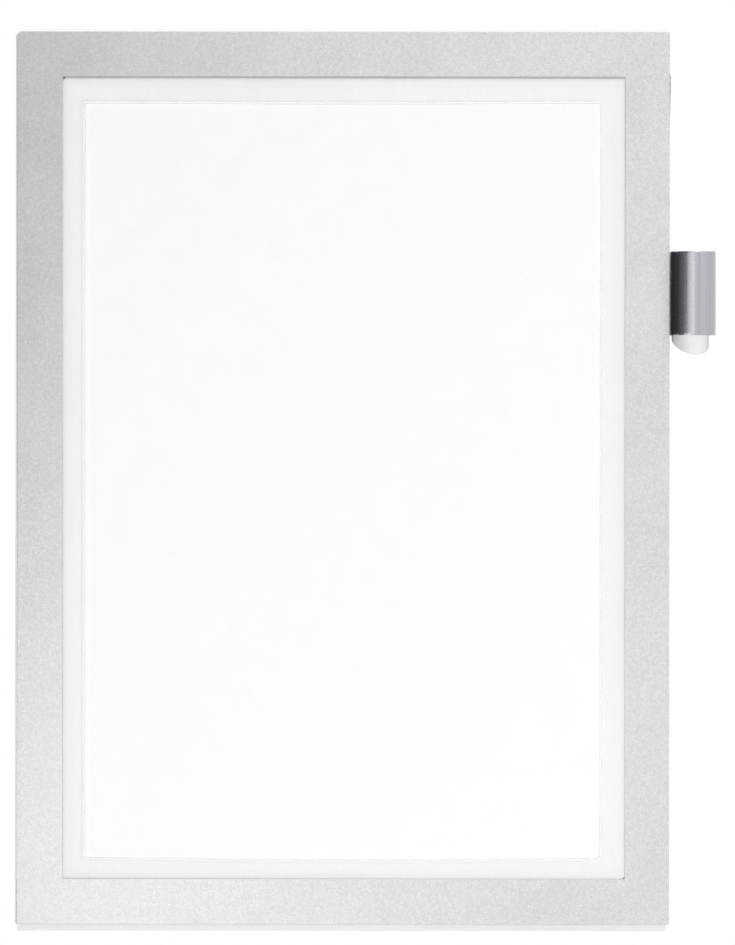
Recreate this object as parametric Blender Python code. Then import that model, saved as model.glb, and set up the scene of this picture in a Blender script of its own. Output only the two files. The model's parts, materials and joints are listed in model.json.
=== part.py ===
"""Magnetic sign frame for one A4 sheet, with a rolled pen holder at its right edge.

The frame hangs on a wall by its adhesive strips. X runs to the right, the front faces -Y and Z is up.
The origin is on the wall, in the middle of the lowest adhesive strip. Lengths are in metres.
"""
import math

import bmesh
import bpy
from mathutils import Vector

# Sheet of paper in the pocket between the steel strips. The whole frame takes its size from it.
sheet_width = 0.2100
sheet_height = 0.2970
sheet_thickness = 0.0001
pocket_play = 0.00075

# Silver front face, whose bars lie over the edges of the sheet. Its left edge stands back from the film's
# fold, and its corner at the upper end of the fold is rounder than the others.
bar_width = 0.0163
top_bar_width = 0.0161
right_bar_width = 0.0160
overlap_side = 0.0035
overlap_end = 0.0037
film_reveal = 0.0007
face_thickness = 0.00015
face_corner = 0.0004
fold_corner = 0.0016

# Clear cover film with the cut-out for writing, measured from the inner edges of the face.
cover_thickness = 0.00015
margin_left = 0.0078
margin_right = 0.0086
margin_top = 0.0094
margin_bottom = 0.0072
cutout_corner = 0.0008

# Magnet strips under the face. Their dark cores show past its inner edges.
magnet_thickness = 0.0006
core_reveal_top = 0.0007
core_reveal_right = 0.0002
core_reveal_bottom = 0.0002
core_reveal_left = 0.0001
butt_gap = 0.0002

# Back panel of clear film with steel strips round its border. It shows past the face as narrow ledges.
back_film_thickness = 0.00025
back_strip_thickness = 0.0004
back_corner = 0.0014
back_fold_corner = 0.0032
top_strip_setback = 0.0014
ledge_top = 0.0011
ledge_bottom = 0.0024
back_setback_right = 0.0010

# Fold of the film along the left edge, which is the hinge.
fold_radius = 0.0002
fold_clearance = 0.00015

# Adhesive strips on the back.
tape_width = 0.0080
tape_inset = 0.0020
tape_corner = 0.0010
tape_gap = 0.0010

# Pen holder: a rolled sheet whose flat tab goes behind the frame's right edge.
sleeve_radius = 0.00815
sleeve_wall = 0.0003
sleeve_height = 0.0302
sleeve_drop = 0.0792
sleeve_side_gap = 0.0002
curl_end_gap = 0.0004
rim_height = 0.0012
rim_draw = 0.00015
tab_reach = 0.0090
tab_standoff = 0.0001

# Adhesive pad that holds the tab on the back film.
pad_thickness = 0.0003
pad_margin = 0.0008

# Soft liner of the holder, slit along its back and cut at a slant below.
liner_radius = 0.0067
liner_wall = 0.0008
liner_side_gap = 0.00015
liner_top_inset = 0.0010
liner_slit = 0.0030
lip_level = 0.0030
lip_slope = 0.587
lip_turn = math.radians(19)

# Smallest gap between two layers that lie on each other.
skin_gap = 0.00015

# Facets of the round shapes.
corner_steps = 6
fold_steps = 12
curl_steps = 72
rim_steps = 5

# Depths of the layers, counted from the wall towards the front.
tape_thickness = tab_standoff + sleeve_wall + skin_gap + pad_thickness
back_film_rear = tape_thickness + skin_gap
back_film_front = back_film_rear + back_film_thickness
strip_rear = back_film_front + skin_gap
strip_front = strip_rear + back_strip_thickness
sheet_rear = back_film_front + skin_gap
magnet_rear = max(strip_front, sheet_rear + sheet_thickness) + skin_gap
cover_rear = magnet_rear + magnet_thickness + skin_gap
face_rear = cover_rear + cover_thickness + skin_gap
fold_depth = (strip_front + magnet_rear) / 2

# Overall size of the front, from the window outwards.
window_width = sheet_width - 2 * overlap_side
window_height = sheet_height - 2 * overlap_end
frame_width = film_reveal + bar_width + window_width + right_bar_width
frame_height = bar_width + window_height + top_bar_width

# Heights. The lowest adhesive strip is centred on the origin.
back_bottom = -tape_inset - tape_width / 2
frame_bottom = back_bottom + ledge_bottom
frame_top = frame_bottom + frame_height
back_top = frame_top + ledge_top
window_bottom = frame_bottom + bar_width
window_top = frame_top - top_bar_width
window_mid_z = (window_bottom + window_top) / 2

# Places across the frame, from left to right.
frame_left = -frame_width / 2
frame_right = frame_width / 2
fold_x = frame_left + fold_radius
face_left = frame_left + film_reveal
window_left = face_left + bar_width
window_right = frame_right - right_bar_width
window_mid_x = (window_left + window_right) / 2
film_corner = fold_corner + face_left - fold_x
magnet_left = fold_x + cover_thickness + skin_gap
back_left = fold_x + fold_clearance
strip_left = back_left + back_film_thickness + skin_gap
back_right = frame_right - back_setback_right

# Pocket of the sheet and height of the pen holder.
pocket_left = window_mid_x - sheet_width / 2 - pocket_play
pocket_right = window_mid_x + sheet_width / 2 + pocket_play
pocket_bottom = window_mid_z - sheet_height / 2 - pocket_play
pocket_top = window_mid_z + sheet_height / 2 + pocket_play
sleeve_x = frame_right + sleeve_side_gap + sleeve_radius
sleeve_depth = tab_standoff + sleeve_radius
sleeve_top = frame_top - sleeve_drop
sleeve_bottom = sleeve_top - sleeve_height
tab_left = back_right - tab_reach


def material(name, colour, roughness, metallic=0.0, alpha=1.0):
    """Returns a Principled material, made once for each name."""
    found = bpy.data.materials.get(name)
    if found:
        return found
    made = bpy.data.materials.new(name)
    made.use_nodes = True
    shader = made.node_tree.nodes["Principled BSDF"]
    shader.inputs["Base Color"].default_value = (*colour, 1.0)
    shader.inputs["Roughness"].default_value = roughness
    shader.inputs["Metallic"].default_value = metallic
    shader.inputs["Alpha"].default_value = alpha
    return made


def add_object(name, mesh, finish, place, parent=None):
    """Links a mesh as a named object at a world place, under a parent that isn't turned."""
    mesh.materials.append(finish)
    made = bpy.data.objects.new(name, mesh)
    bpy.context.scene.collection.objects.link(made)
    made.location = Vector(place)
    if parent:
        made.parent = parent
        made.location = Vector(place) - parent.location
    return made


def mesh_from(bm, name, smooth_angle=None):
    """Turns a bmesh into a mesh with its faces pointing out, smooth up to an angle where one is given."""
    bmesh.ops.recalc_face_normals(bm, faces=bm.faces)
    mesh = bpy.data.meshes.new(name)
    bm.to_mesh(mesh)
    bm.free()
    if smooth_angle:
        mesh.shade_smooth()
        mesh.set_sharp_from_angle(angle=smooth_angle)
    return mesh


def rounded_corners(left, right, bottom, top, radii):
    """Lists the points of a rectangle in X and Z whose corners are arcs, from the lower left one round.

    The radii are those of the lower left, lower right, upper right and upper left corners.
    """
    corners = [(left, bottom, 1, 1), (right, bottom, -1, 1), (right, top, -1, -1), (left, top, 1, -1)]
    points = []
    for turn, ((x, z, inward_x, inward_z), radius) in enumerate(zip(corners, radii)):
        centre_x = x + inward_x * radius
        centre_z = z + inward_z * radius
        for step in range(corner_steps + 1):
            angle = math.pi + 0.5 * math.pi * (turn + step / corner_steps)
            points.append((centre_x + radius * math.cos(angle), centre_z + radius * math.sin(angle)))
    return points


def add_loop(bm, points, y):
    """Adds a closed loop of edges through points in X and Z at one depth."""
    verts = [bm.verts.new((x, y, z)) for x, z in points]
    return [bm.edges.new((verts[i - 1], verts[i])) for i in range(len(verts))]


def thicken(bm, faces, thickness):
    """Extrudes flat faces towards the front."""
    grown = bmesh.ops.extrude_face_region(bm, geom=faces)["geom"]
    moved = [item for item in grown if isinstance(item, bmesh.types.BMVert)]
    bmesh.ops.translate(bm, verts=moved, vec=(0.0, -thickness, 0.0))


def plate_mesh(name, width, height, thickness, radii):
    """A flat plate centred in X and Z, with rounded corners, its back on the plane y = 0."""
    bm = bmesh.new()
    loop = add_loop(bm, rounded_corners(-width / 2, width / 2, -height / 2, height / 2, radii), 0.0)
    faces = bmesh.ops.contextual_create(bm, geom=loop)["faces"]
    thicken(bm, faces, thickness)
    return mesh_from(bm, name)


def strip(name, left, right, bottom, top, rear, thickness, finish, radii, parent=None):
    """A flat strip given by its edges, the depth of its back and the radii of its corners."""
    mesh = plate_mesh(name, right - left, top - bottom, thickness, radii)
    return add_object(name, mesh, finish, ((left + right) / 2, -rear, (bottom + top) / 2), parent)


def ring_mesh(name, outer, inner, thickness, outer_radii, inner_radii):
    """A flat ring between two rectangles, each given as left, right, bottom and top."""
    bm = bmesh.new()
    outside = add_loop(bm, rounded_corners(*outer, outer_radii), 0.0)
    inside = add_loop(bm, rounded_corners(*inner, inner_radii), 0.0)
    faces = bmesh.ops.bridge_loops(bm, edges=outside + inside)["faces"]
    thicken(bm, faces, thickness)
    return mesh_from(bm, name)


def prism_mesh(name, outline, bottom, top, smooth_angle):
    """Extrudes an outline in X and Y from one height to another."""
    bm = bmesh.new()
    face = bm.faces.new([bm.verts.new((x, y, bottom)) for x, y in outline])
    grown = bmesh.ops.extrude_face_region(bm, geom=[face])["geom"]
    moved = [item for item in grown if isinstance(item, bmesh.types.BMVert)]
    bmesh.ops.translate(bm, verts=moved, vec=(0.0, 0.0, top - bottom))
    return mesh_from(bm, name, smooth_angle)


def fuse(body, helper):
    """Joins a hidden helper to a body with an exact union."""
    helper.hide_render = True
    helper.display_type = "WIRE"
    union = body.modifiers.new("fuse " + helper.name, "BOOLEAN")
    union.operation = "UNION"
    union.solver = "EXACT"
    union.object = helper


def loft_mesh(name, sections, smooth_angle):
    """Joins open-walled sections of equal length, each a pair of outer and inner point lists, into a solid.

    A section's wall runs along its path, so the two ends of the path and the two end sections are closed.
    """
    bm = bmesh.new()
    rings = []
    for outer, inner in sections:
        rings.append(([bm.verts.new(p) for p in outer], [bm.verts.new(p) for p in inner]))
    last = len(rings[0][0]) - 1
    for (outer_a, inner_a), (outer_b, inner_b) in zip(rings, rings[1:]):
        for i in range(last):
            bm.faces.new((outer_a[i], outer_a[i + 1], outer_b[i + 1], outer_b[i]))
            bm.faces.new((inner_a[i], inner_b[i], inner_b[i + 1], inner_a[i + 1]))
        for i in (0, last):
            bm.faces.new((outer_a[i], outer_b[i], inner_b[i], inner_a[i]))
    for outer, inner in (rings[0], rings[-1]):
        for i in range(last):
            bm.faces.new((outer[i], outer[i + 1], inner[i + 1], inner[i]))
    return mesh_from(bm, name, smooth_angle)


def bead_outline(wall, from_depth):
    """Outline of the cover film's folded edge: a wall along the depth that ends in the bead of the fold."""
    start = math.acos(min(1.0, wall / fold_radius))
    sweep = 2 * math.pi - start - 0.5 * math.pi
    bead = []
    for step in range(fold_steps + 1):
        angle = start + sweep * step / fold_steps
        bead.append((fold_x + fold_radius * math.cos(angle), -fold_depth + fold_radius * math.sin(angle)))
    return [(fold_x, -from_depth), (fold_x + wall, -from_depth)] + bead


def build_back_film(clear_film):
    """Clear back film with the lower half of the fold at its left edge."""
    film = strip("back_film", back_left, back_right, back_bottom, back_top, back_film_rear,
                 back_film_thickness, clear_film, (face_corner, back_corner, back_corner, back_fold_corner))
    wall_end = fold_depth - fold_radius - fold_clearance
    wall_right = back_left + back_film_thickness
    outline = [(back_left, -back_film_rear), (wall_right, -back_film_rear),
               (wall_right, -wall_end), (back_left, -wall_end)]
    mesh = prism_mesh("back fold", outline, frame_bottom + face_corner, back_top - back_fold_corner, None)
    fuse(film, add_object("back fold", mesh, clear_film, (0.0, 0.0, 0.0)))


def build_back_strips(steel_film):
    """Steel strips round the pocket of the sheet. The top one ends under the face, so its ledge is clear."""
    square = (face_corner,) * 4
    edges = {"top": (strip_left, back_right, pocket_top, back_top - top_strip_setback),
             "bottom": (strip_left, back_right, back_bottom, pocket_bottom),
             "left": (strip_left, pocket_left, pocket_bottom + butt_gap, pocket_top - butt_gap),
             "right": (pocket_right, back_right, pocket_bottom + butt_gap, pocket_top - butt_gap)}
    corners = {"top": (face_corner, face_corner, back_corner, fold_corner),
               "bottom": (face_corner, back_corner, face_corner, face_corner)}
    for side, (left, right, bottom, top) in edges.items():
        strip("back_strip_" + side, left, right, bottom, top, strip_rear, back_strip_thickness,
              steel_film, corners.get(side, square))


def build_sheet(paper):
    """The paper, in the middle of the pocket."""
    strip("insert_sheet", window_mid_x - sheet_width / 2, window_mid_x + sheet_width / 2,
          window_mid_z - sheet_height / 2, window_mid_z + sheet_height / 2, sheet_rear, sheet_thickness,
          paper, (face_corner,) * 4)


def build_tapes(foam_tape):
    """Adhesive strips round the back, the right one in two lengths beside the holder's tab."""
    left = back_left + tape_inset
    right = back_right - tape_inset
    low = back_bottom + tape_inset
    high = back_top - tape_inset
    side_low = low + tape_width + tape_gap
    side_high = high - tape_width - tape_gap
    edges = {"bottom": (left, right, low, low + tape_width),
             "top": (left, right, high - tape_width, high),
             "left": (left, left + tape_width, side_low, side_high),
             "right_lower": (right - tape_width, right, side_low, sleeve_bottom - tape_gap),
             "right_upper": (right - tape_width, right, sleeve_top + tape_gap, side_high)}
    for side, (x0, x1, z0, z1) in edges.items():
        strip("adhesive_" + side, x0, x1, z0, z1, 0.0, tape_thickness, foam_tape, (tape_corner,) * 4)


def build_front(hinge, silver, clear_film, magnet_core):
    """Everything that swings with the front: face, cover film with its fold, and magnet strips."""
    outer = (face_left, frame_right, frame_bottom, frame_top)
    window = (window_left, window_right, window_bottom, window_top)
    outer_corners = (face_corner, face_corner, face_corner, fold_corner)
    face = ring_mesh("front_face", outer, window, face_thickness, outer_corners, (face_corner,) * 4)
    add_object("front_face", face, silver, (0.0, -face_rear, 0.0), hinge)

    film_outer = (fold_x, frame_right, frame_bottom, frame_top)
    cutout = (window_left + margin_left, window_right - margin_right,
              window_bottom + margin_bottom, window_top - margin_top)
    film_corners = (face_corner, face_corner, face_corner, film_corner)
    film = ring_mesh("cover_film", film_outer, cutout, cover_thickness, film_corners, (cutout_corner,) * 4)
    cover = add_object("cover_film", film, clear_film, (0.0, -cover_rear, 0.0), hinge)
    outline = bead_outline(cover_thickness, cover_rear + cover_thickness)
    fold = prism_mesh("cover fold", outline, frame_bottom + face_corner, frame_top - film_corner,
                      math.radians(40))
    fuse(cover, add_object("cover fold", fold, clear_film, (0.0, 0.0, 0.0), hinge))

    low = window_bottom + core_reveal_bottom
    high = window_top - core_reveal_top
    edges = {"top": (magnet_left, frame_right, high, frame_top),
             "bottom": (magnet_left, frame_right, frame_bottom, low),
             "left": (magnet_left, window_left + core_reveal_left, low + butt_gap, high - butt_gap),
             "right": (window_right - core_reveal_right, frame_right, low + butt_gap, high - butt_gap)}
    for side, (left, right, bottom, top) in edges.items():
        upper_left = fold_corner + face_left - magnet_left if side == "top" else butt_gap
        strip("magnet_strip_" + side, left, right, bottom, top, magnet_rear, magnet_thickness,
              magnet_core, (butt_gap, butt_gap, butt_gap, upper_left), hinge)


def sleeve_section(z, end_distance):
    """One section of the rolled sheet: flat tab, then the curl from the wall round to the front and back."""
    rounding = min(1.0, end_distance / rim_height)
    drawn = 1.0 - math.sqrt(1.0 - (1.0 - rounding) ** 2)
    outer_radius = sleeve_radius - rim_draw * drawn
    inner_radius = sleeve_radius - sleeve_wall
    tab_edge = tab_left + rim_height * drawn
    closing = math.acos(1.0 - (sleeve_wall + curl_end_gap) / sleeve_radius)
    sweep = 2 * math.pi - closing
    outer = [(tab_edge, -tab_standoff, z)]
    inner = [(tab_edge, -tab_standoff - sleeve_wall, z)]
    for step in range(curl_steps + 1):
        angle = sweep * step / curl_steps
        along_x = math.sin(angle)
        along_y = math.cos(angle)
        radius = outer_radius if step else sleeve_radius
        outer.append((sleeve_x + radius * along_x, -sleeve_depth + radius * along_y, z))
        inner.append((sleeve_x + inner_radius * along_x, -sleeve_depth + inner_radius * along_y, z))
    return outer, inner


def build_sleeve(satin_metal):
    """The rolled holder sleeve, with drawn-in rims and rounded tab corners."""
    distances = [rim_height * step / rim_steps for step in range(rim_steps + 1)]
    sections = [sleeve_section(-sleeve_height / 2 + d, d) for d in distances]
    sections += [sleeve_section(sleeve_height / 2 - d, d) for d in reversed(distances)]
    mesh = loft_mesh("holder_sleeve", sections, math.radians(40))
    add_object("holder_sleeve", mesh, satin_metal, (0.0, 0.0, (sleeve_top + sleeve_bottom) / 2))


def liner_section(z_at):
    """One section of the liner round its own axis, with the slit towards the wall."""
    half_slit = math.asin(min(0.9, liner_slit / (2 * (liner_radius - liner_wall))))
    sweep = 2 * math.pi - 2 * half_slit
    outer = []
    inner = []
    for step in range(curl_steps + 1):
        angle = half_slit + sweep * step / curl_steps
        for radius, points in ((liner_radius, outer), (liner_radius - liner_wall, inner)):
            x = radius * math.sin(angle)
            y = radius * math.cos(angle)
            points.append((x, y, z_at(x, y)))
    return outer, inner


def build_liner(soft_plastic):
    """The soft liner: a slit tube cut square above and at a slant below, lowest at its front."""
    top = sleeve_height - liner_top_inset
    across = lip_slope * math.sin(lip_turn)
    forward = lip_slope * math.cos(lip_turn)
    sections = [liner_section(lambda x, y: -lip_level - across * x + forward * y),
                liner_section(lambda x, y: top)]
    mesh = loft_mesh("holder_liner", sections, math.radians(40))
    centre_x = sleeve_x - (sleeve_radius - sleeve_wall - liner_radius - liner_side_gap)
    add_object("holder_liner", mesh, soft_plastic, (centre_x, -sleeve_depth, sleeve_bottom))


def build_holder_pad(foam_tape):
    """The pad between the holder's tab and the back film."""
    strip("holder_pad", tab_left + pad_margin, back_right - pad_margin, sleeve_bottom + pad_margin,
          sleeve_top - pad_margin, tab_standoff + sleeve_wall + skin_gap, pad_thickness, foam_tape,
          (pad_margin,) * 4)


def build():
    """Clears the scene and builds the whole frame."""
    for old in list(bpy.data.objects):
        bpy.data.objects.remove(old, do_unlink=True)
    silver = material("silver film", (0.66, 0.66, 0.67), 0.45, 0.6)
    clear_film = material("clear film", (0.93, 0.94, 0.94), 0.12, 0.0, 0.3)
    magnet_core = material("magnet core", (0.05, 0.05, 0.06), 0.7)
    steel_film = material("coated steel", (0.82, 0.82, 0.82), 0.42, 0.1)
    paper = material("paper", (0.93, 0.93, 0.93), 0.85)
    foam_tape = material("foam tape", (0.86, 0.86, 0.85), 0.8)
    satin_metal = material("satin metal", (0.55, 0.56, 0.59), 0.32, 0.9)
    soft_plastic = material("soft plastic", (0.84, 0.84, 0.84), 0.55)

    hinge = bpy.data.objects.new("front hinge", None)
    hinge.location = (fold_x, -fold_depth, (frame_bottom + frame_top) / 2)
    bpy.context.scene.collection.objects.link(hinge)

    build_back_film(clear_film)
    build_back_strips(steel_film)
    build_sheet(paper)
    build_tapes(foam_tape)
    build_front(hinge, silver, clear_film, magnet_core)
    build_sleeve(satin_metal)
    build_liner(soft_plastic)
    build_holder_pad(foam_tape)


build()
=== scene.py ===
import json
import math
import bmesh
import bpy
import numpy as np
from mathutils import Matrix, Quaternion, Vector, noise


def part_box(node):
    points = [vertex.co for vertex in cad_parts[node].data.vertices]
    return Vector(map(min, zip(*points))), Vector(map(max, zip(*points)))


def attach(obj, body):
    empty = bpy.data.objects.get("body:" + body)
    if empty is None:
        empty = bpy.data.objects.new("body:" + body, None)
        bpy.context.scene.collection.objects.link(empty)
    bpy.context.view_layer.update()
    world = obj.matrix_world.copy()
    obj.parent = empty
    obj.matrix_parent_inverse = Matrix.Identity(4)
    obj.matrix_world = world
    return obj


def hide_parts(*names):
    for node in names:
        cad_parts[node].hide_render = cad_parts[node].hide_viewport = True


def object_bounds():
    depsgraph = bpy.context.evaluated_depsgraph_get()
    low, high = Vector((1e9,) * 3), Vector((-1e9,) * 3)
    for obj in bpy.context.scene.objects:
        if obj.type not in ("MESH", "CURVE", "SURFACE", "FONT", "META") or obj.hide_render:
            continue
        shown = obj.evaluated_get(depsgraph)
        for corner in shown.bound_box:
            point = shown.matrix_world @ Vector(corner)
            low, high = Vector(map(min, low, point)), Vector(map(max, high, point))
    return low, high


# Magnetic sign frame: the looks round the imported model. Metres, X right, front towards -Y, Z up.
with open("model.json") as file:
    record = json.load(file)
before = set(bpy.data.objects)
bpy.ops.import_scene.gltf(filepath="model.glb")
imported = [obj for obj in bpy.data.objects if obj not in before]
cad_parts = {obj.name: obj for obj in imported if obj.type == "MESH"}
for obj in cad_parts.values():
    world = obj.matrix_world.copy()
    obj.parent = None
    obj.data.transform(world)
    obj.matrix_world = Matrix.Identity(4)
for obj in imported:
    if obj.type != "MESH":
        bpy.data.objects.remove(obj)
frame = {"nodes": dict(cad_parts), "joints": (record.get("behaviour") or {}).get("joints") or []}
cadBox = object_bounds()  # the model's own box, before any piece is dressed
scene = bpy.context.scene


# Node trees

# A socket that can be added, multiplied and so on, each time with a Math node.
class Wire:
    def __init__(self, tree, socket):
        self.tree = tree
        self.socket = socket

    def maths(self, operation, *values):
        return self.tree.node("ShaderNodeMath", {"operation": operation}, dict(enumerate(values)))

    def __add__(self, other):
        return self.maths("ADD", self, other)

    def __sub__(self, other):
        return self.maths("SUBTRACT", self, other)

    def __mul__(self, other):
        return self.maths("MULTIPLY", self, other)

    def __truediv__(self, other):
        return self.maths("DIVIDE", self, other)

    def __pow__(self, other):
        return self.maths("POWER", self, other)

    def __rsub__(self, other):
        return self.maths("SUBTRACT", other, self)

    __radd__ = __add__
    __rmul__ = __mul__

    def least(self, other):
        return self.maths("MINIMUM", self, other)

    def most(self, other):
        return self.maths("MAXIMUM", self, other)

    def size(self):
        return self.maths("ABSOLUTE", self)

    def other(self, name):
        # another output of the node that this one comes from
        return Wire(self.tree, self.socket.node.outputs[name])

    def between(self, low, high):
        # 0 below low, 1 above high, smooth in between
        values = {"Value": self, "From Min": low, "From Max": high}
        return self.tree.node("ShaderNodeMapRange", {"interpolation_type": "SMOOTHSTEP"}, values)

    def spread(self):
        # noise lies mostly between these two values
        return self.between(0.3, 0.7)

    def swing(self, amount):
        # noise as a change up and down
        return (self - 0.5) * amount


# Several wires added up, each by its own share.
def weighed(shares, *wires):
    parts = [wire * share for wire, share in zip(wires, shares)]
    return sum(parts[1:], parts[0])


# A shader or geometry tree whose nodes all come from one method.
class Tree:
    def __init__(self, tree):
        self.tree = tree

    def node(self, kind, settings=None, values=None, out=0):
        made = self.tree.nodes.new(kind)
        for key, value in (settings or {}).items():
            setattr(made, key, value)
        for key, value in (values or {}).items():
            if isinstance(value, Wire):
                self.tree.links.new(value.socket, made.inputs[key])
            else:
                made.inputs[key].default_value = value
        return Wire(self, made.outputs[out]) if made.outputs else None

    def mix(self, factor, first, second):
        # sockets 0, 6 and 7 take the factor and the two colours, and output 2 is the colour
        colours = [c if isinstance(c, Wire) else (*c, 1.0) for c in (first, second)]
        values = {0: factor, 6: colours[0], 7: colours[1]}
        return self.node("ShaderNodeMix", {"data_type": "RGBA"}, values, out=2)

    def mask(self, name):
        # a mask that the mesh carries, from 0 to 1
        return self.node("ShaderNodeAttribute", {"attribute_name": name}, out="Fac")

    def place(self, stretch=(1.0, 1.0, 1.0)):
        spot = self.node("ShaderNodeTexCoord", out="Object")
        return self.node("ShaderNodeMapping", None, {"Vector": spot, "Scale": stretch})

    def grain(self, grainSize, detail=2.0, stretch=(1.0, 1.0, 1.0)):
        # noise whose lumps are about one grain size across
        values = {"Vector": self.place(stretch), "Scale": 1.0 / grainSize, "Detail": detail}
        return self.node("ShaderNodeTexNoise", None, values)

    def cells(self, cellSize, out):
        values = {"Vector": self.place(), "Scale": 1.0 / cellSize}
        return self.node("ShaderNodeTexVoronoi", None, values, out)

    def bump(self, height, distance, strength=0.5):
        values = {"Height": height, "Distance": distance, "Strength": strength}
        return self.node("ShaderNodeBump", None, values)


# Starts a material; paint() closes it with a Principled shader.
def newFinish(name):
    made = bpy.data.materials.new(name)
    made.use_nodes = True
    made.node_tree.nodes.clear()
    return made, Tree(made.node_tree)


def paint(made, tree, values):
    shader = tree.node("ShaderNodeBsdfPrincipled", None, values)
    tree.node("ShaderNodeOutputMaterial", None, {"Surface": shader})
    return made


# Finishes

silverSet = {
    "dark": (0.442, 0.445, 0.452), "light": (0.648, 0.651, 0.658), "grain": 0.00040,
    "mottle": 0.0014, "cloud": 0.030, "shares": (0.62, 0.22, 0.16),
    # the few flakes that catch the light: their own tilt in the bumps, and a painted glint in their
    # lighter colour
    "flake": 0.00034, "spark": (0.84, 0.845, 0.85), "sparkRange": (0.90, 0.97),
    "sparkShare": 0.30, "sparkRelief": 0.4,
    "metallic": 0.72, "roughness": 0.38, "roughFine": 0.10, "roughCloud": 0.06,
    "relief": 0.000008, "strength": 0.7,
}


def silverFilmFinish(s=silverSet):
    made, tree = newFinish("silverFilm")
    fine = tree.grain(s["grain"], detail=3.0)
    mottle = tree.grain(s["mottle"])
    cloud = tree.grain(s["cloud"])
    flakes = tree.cells(s["flake"], "Color")
    spark = tree.node("ShaderNodeSeparateColor", None, {"Color": flakes})
    spark = spark.between(*s["sparkRange"])
    tone = weighed(s["shares"], fine.spread(), mottle.spread(), cloud.spread())
    colour = tree.mix(tone, s["dark"], s["light"])
    # painted glint: the flakes are mixed towards a lighter colour
    colour = tree.mix(spark * s["sparkShare"], colour, s["spark"])
    rough = s["roughness"] + fine.swing(s["roughFine"]) + cloud.swing(s["roughCloud"])
    relief = tree.bump(fine + spark * s["sparkRelief"], s["relief"], s["strength"])
    return paint(made, tree, {
        "Base Color": colour, "Roughness": rough, "Normal": relief, "Metallic": s["metallic"],
    })


clearSet = {
    # edge: the darker tone painted along the cut edge and the fold as their shade, and along the burr
    # as the cut edge's shadow
    "tint": (0.855, 0.856, 0.858), "edge": (0.70, 0.705, 0.715), "alpha": 0.30, "backAlpha": 0.10,
    "edgeAlpha": 0.10, "foldAlpha": 0.10, "roughness": 0.45, "refraction": 1.49,
    # soft clouds, and what they take off the clearness and the tint
    "haze": 0.040, "hazeAlpha": 0.012, "hazeShare": 0.5, "hazeDark": 0.03,
    "relief": 0.00015, "strength": 0.25,
    # upright scuffs
    "scuff": 0.0020, "scuffStretch": (1.0, 1.0, 0.25), "scuffRange": (0.45, 0.75),
    "scuffAlpha": 0.008, "scuffRough": 0.10,
}


def clearFilmFinish(name, edged, s=clearSet):
    made, tree = newFinish(name)
    haze = tree.grain(s["haze"], detail=3.0).spread()
    scuff = tree.grain(s["scuff"], 4.0, s["scuffStretch"]).between(*s["scuffRange"])
    alpha = s["alpha" if edged else "backAlpha"] + haze * s["hazeAlpha"] + scuff * s["scuffAlpha"]
    hazed = [c - s["hazeDark"] for c in s["tint"]]
    colour = tree.mix(haze * s["hazeShare"], s["tint"], hazed)
    if edged:
        # painted shade along the cut edge and the fold, and the cut edge's painted shadow line along
        # the burr
        rim = tree.mask("rim")
        fold = tree.mask("fold")
        alpha = alpha + rim * s["edgeAlpha"] + fold * s["foldAlpha"]
        alpha = alpha * (1.0 - tree.mask("wet"))
        colour = tree.mix(rim.most(fold), colour, s["edge"])
    rough = s["roughness"] + scuff * s["scuffRough"]
    relief = tree.bump(haze, s["relief"], s["strength"])
    return paint(made, tree, {
        "Base Color": colour, "Alpha": alpha, "Roughness": rough, "Normal": relief,
        "IOR": s["refraction"],
    })


coreSet = {
    "dark": (0.038, 0.038, 0.048), "light": (0.098, 0.098, 0.113),
    "grain": 0.00045, "grainRange": (0.3, 0.75),
    # faint lines of the extrusion
    "line": 0.0009, "lineStretch": (1.0, 1.0, 0.05), "lineRange": (0.4, 0.7),
    "shares": (0.7, 0.3), "roughness": 0.62, "roughFine": 0.2, "relief": 0.00003,
}


def magnetCoreFinish(s=coreSet):
    made, tree = newFinish("magnetCore")
    fine = tree.grain(s["grain"], detail=4.0)
    line = tree.grain(s["line"], 2.0, s["lineStretch"]).between(*s["lineRange"])
    tone = weighed(s["shares"], fine.between(*s["grainRange"]), line)
    return paint(made, tree, {
        "Base Color": tree.mix(tone, s["dark"], s["light"]),
        "Roughness": s["roughness"] + fine.swing(s["roughFine"]),
        "Normal": tree.bump(fine, s["relief"]),
    })


steelSet = {
    "dark": (0.700, 0.703, 0.707), "light": (0.771, 0.774, 0.777), "grain": 0.0004,
    # marks in the mill's rolling direction
    "rolled": 0.0012, "rolledStretch": (0.06, 1.0, 1.0), "shares": (0.5, 0.5),
    "metallic": 0.12, "roughness": 0.42, "roughRolled": 0.14, "relief": 0.00001,
}


def coatedSteelFinish(s=steelSet):
    made, tree = newFinish("coatedSteel")
    fine = tree.grain(s["grain"], detail=3.0)
    rolled = tree.grain(s["rolled"], 3.0, s["rolledStretch"])
    tone = weighed(s["shares"], fine.spread(), rolled.spread())
    return paint(made, tree, {
        "Base Color": tree.mix(tone, s["dark"], s["light"]),
        "Roughness": s["roughness"] + rolled.swing(s["roughRolled"]),
        "Normal": tree.bump(rolled, s["relief"]),
        "Metallic": s["metallic"],
    })


paperSet = {
    "dark": (0.920, 0.922, 0.923), "light": (0.945, 0.946, 0.947),
    # fibres that lie upright and across
    "fibre": 0.0007, "upright": (1.0, 1.0, 0.35), "across": (0.35, 1.0, 1.0),
    "cloud": 0.012, "shares": (0.3, 0.3, 0.4),
    "roughness": 0.88, "roughFibre": 0.1, "specular": 0.25, "relief": 0.00002,
}


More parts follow.
